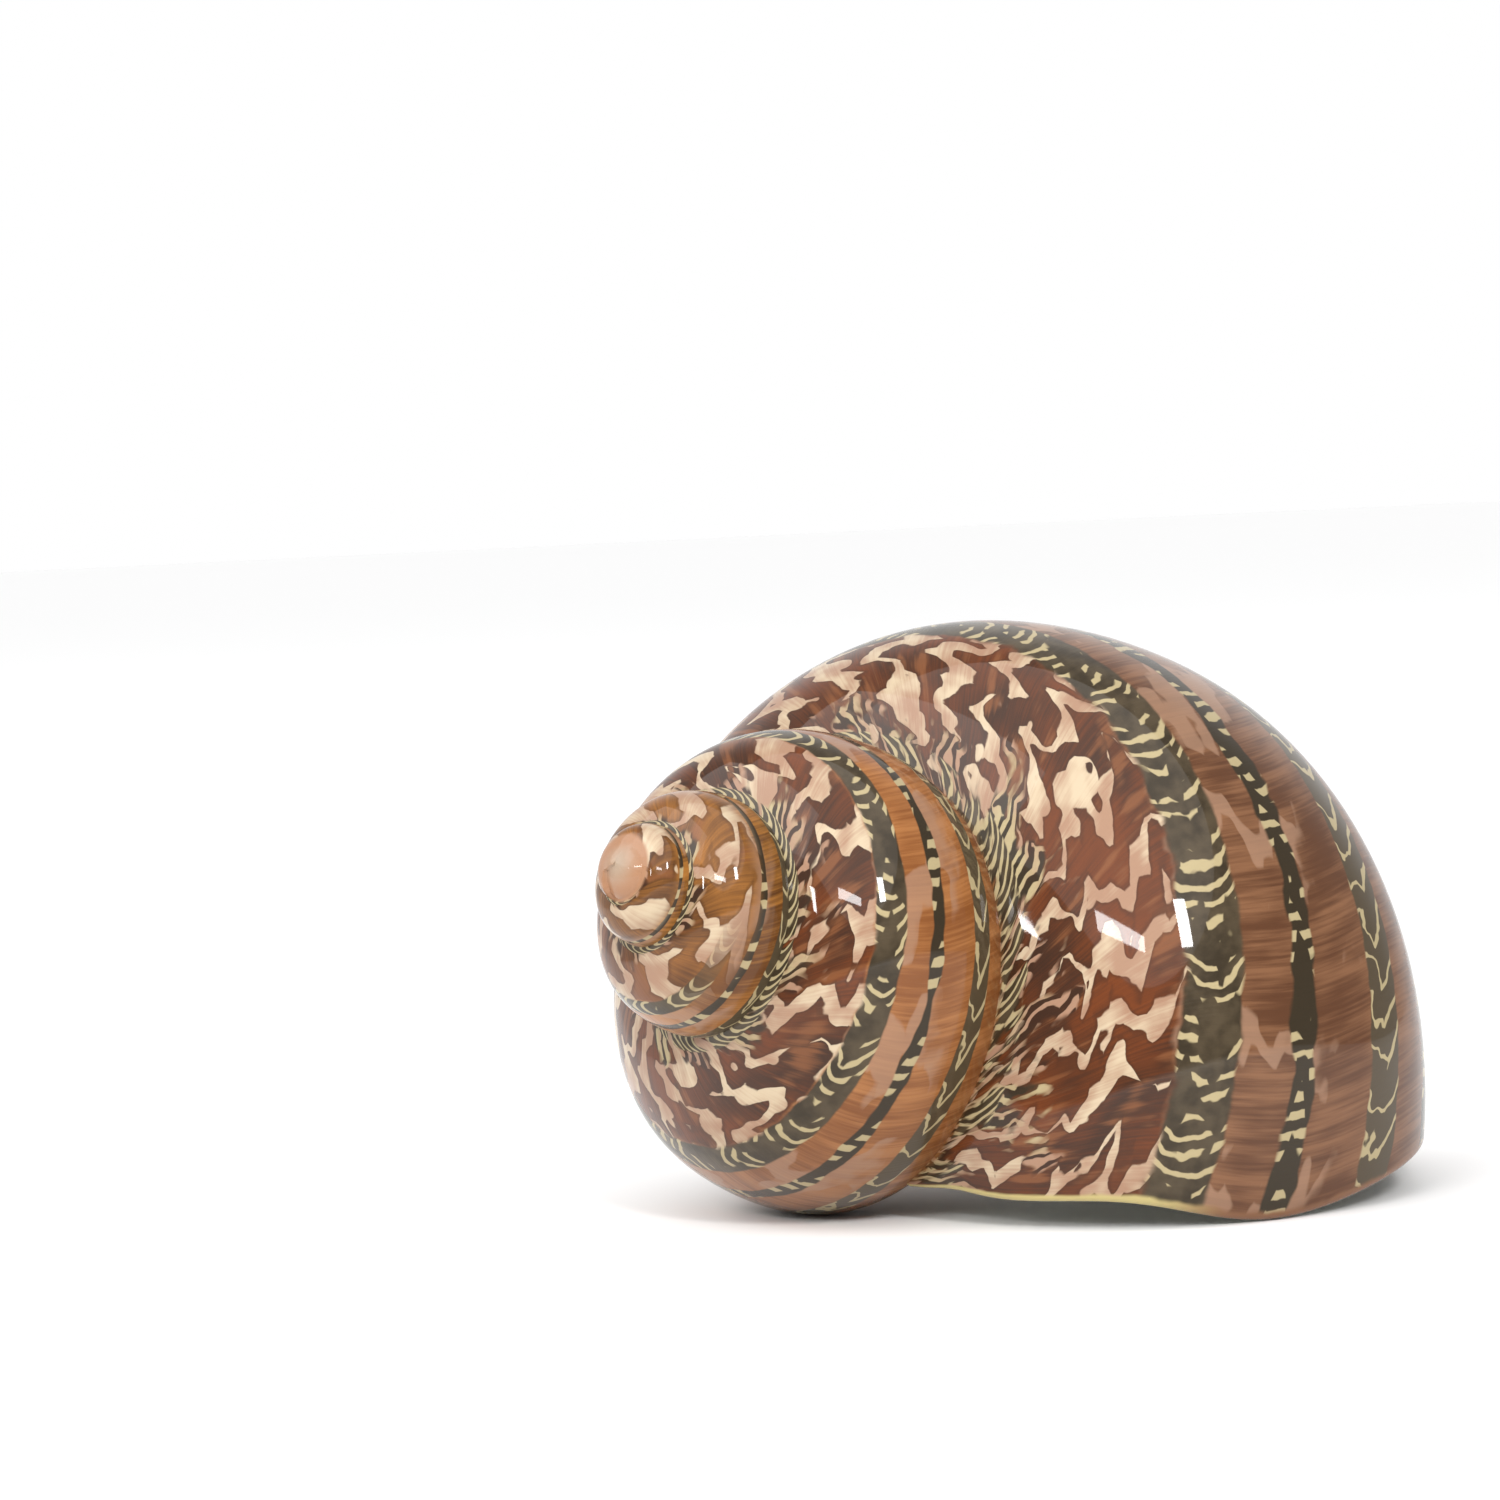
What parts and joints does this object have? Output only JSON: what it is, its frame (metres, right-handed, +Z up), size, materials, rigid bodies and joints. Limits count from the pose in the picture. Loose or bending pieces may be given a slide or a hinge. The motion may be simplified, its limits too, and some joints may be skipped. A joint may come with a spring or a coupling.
{
  "type": "turban shell",
  "caption": "Empty marine snail shell: a polished right-handed spiral with rounded whorls and a worn tip, lying on its open mouth.",
  "frame": {"origin": "on the ground, under the middle of the shell's box", "axes": "+Z up, +X from the tip of the spire towards the base of the shell, as it lies at rest"},
  "size_m": [0.053, 0.0438, 0.0334],
  "materials": {
    "shell": "glossy polished shell, orange-brown with dark olive and red-brown bands broken by cream arcs"
  },
  "bodies": {
    "root": {"turban_shell": "shell"}
  },
  "joints": []
}
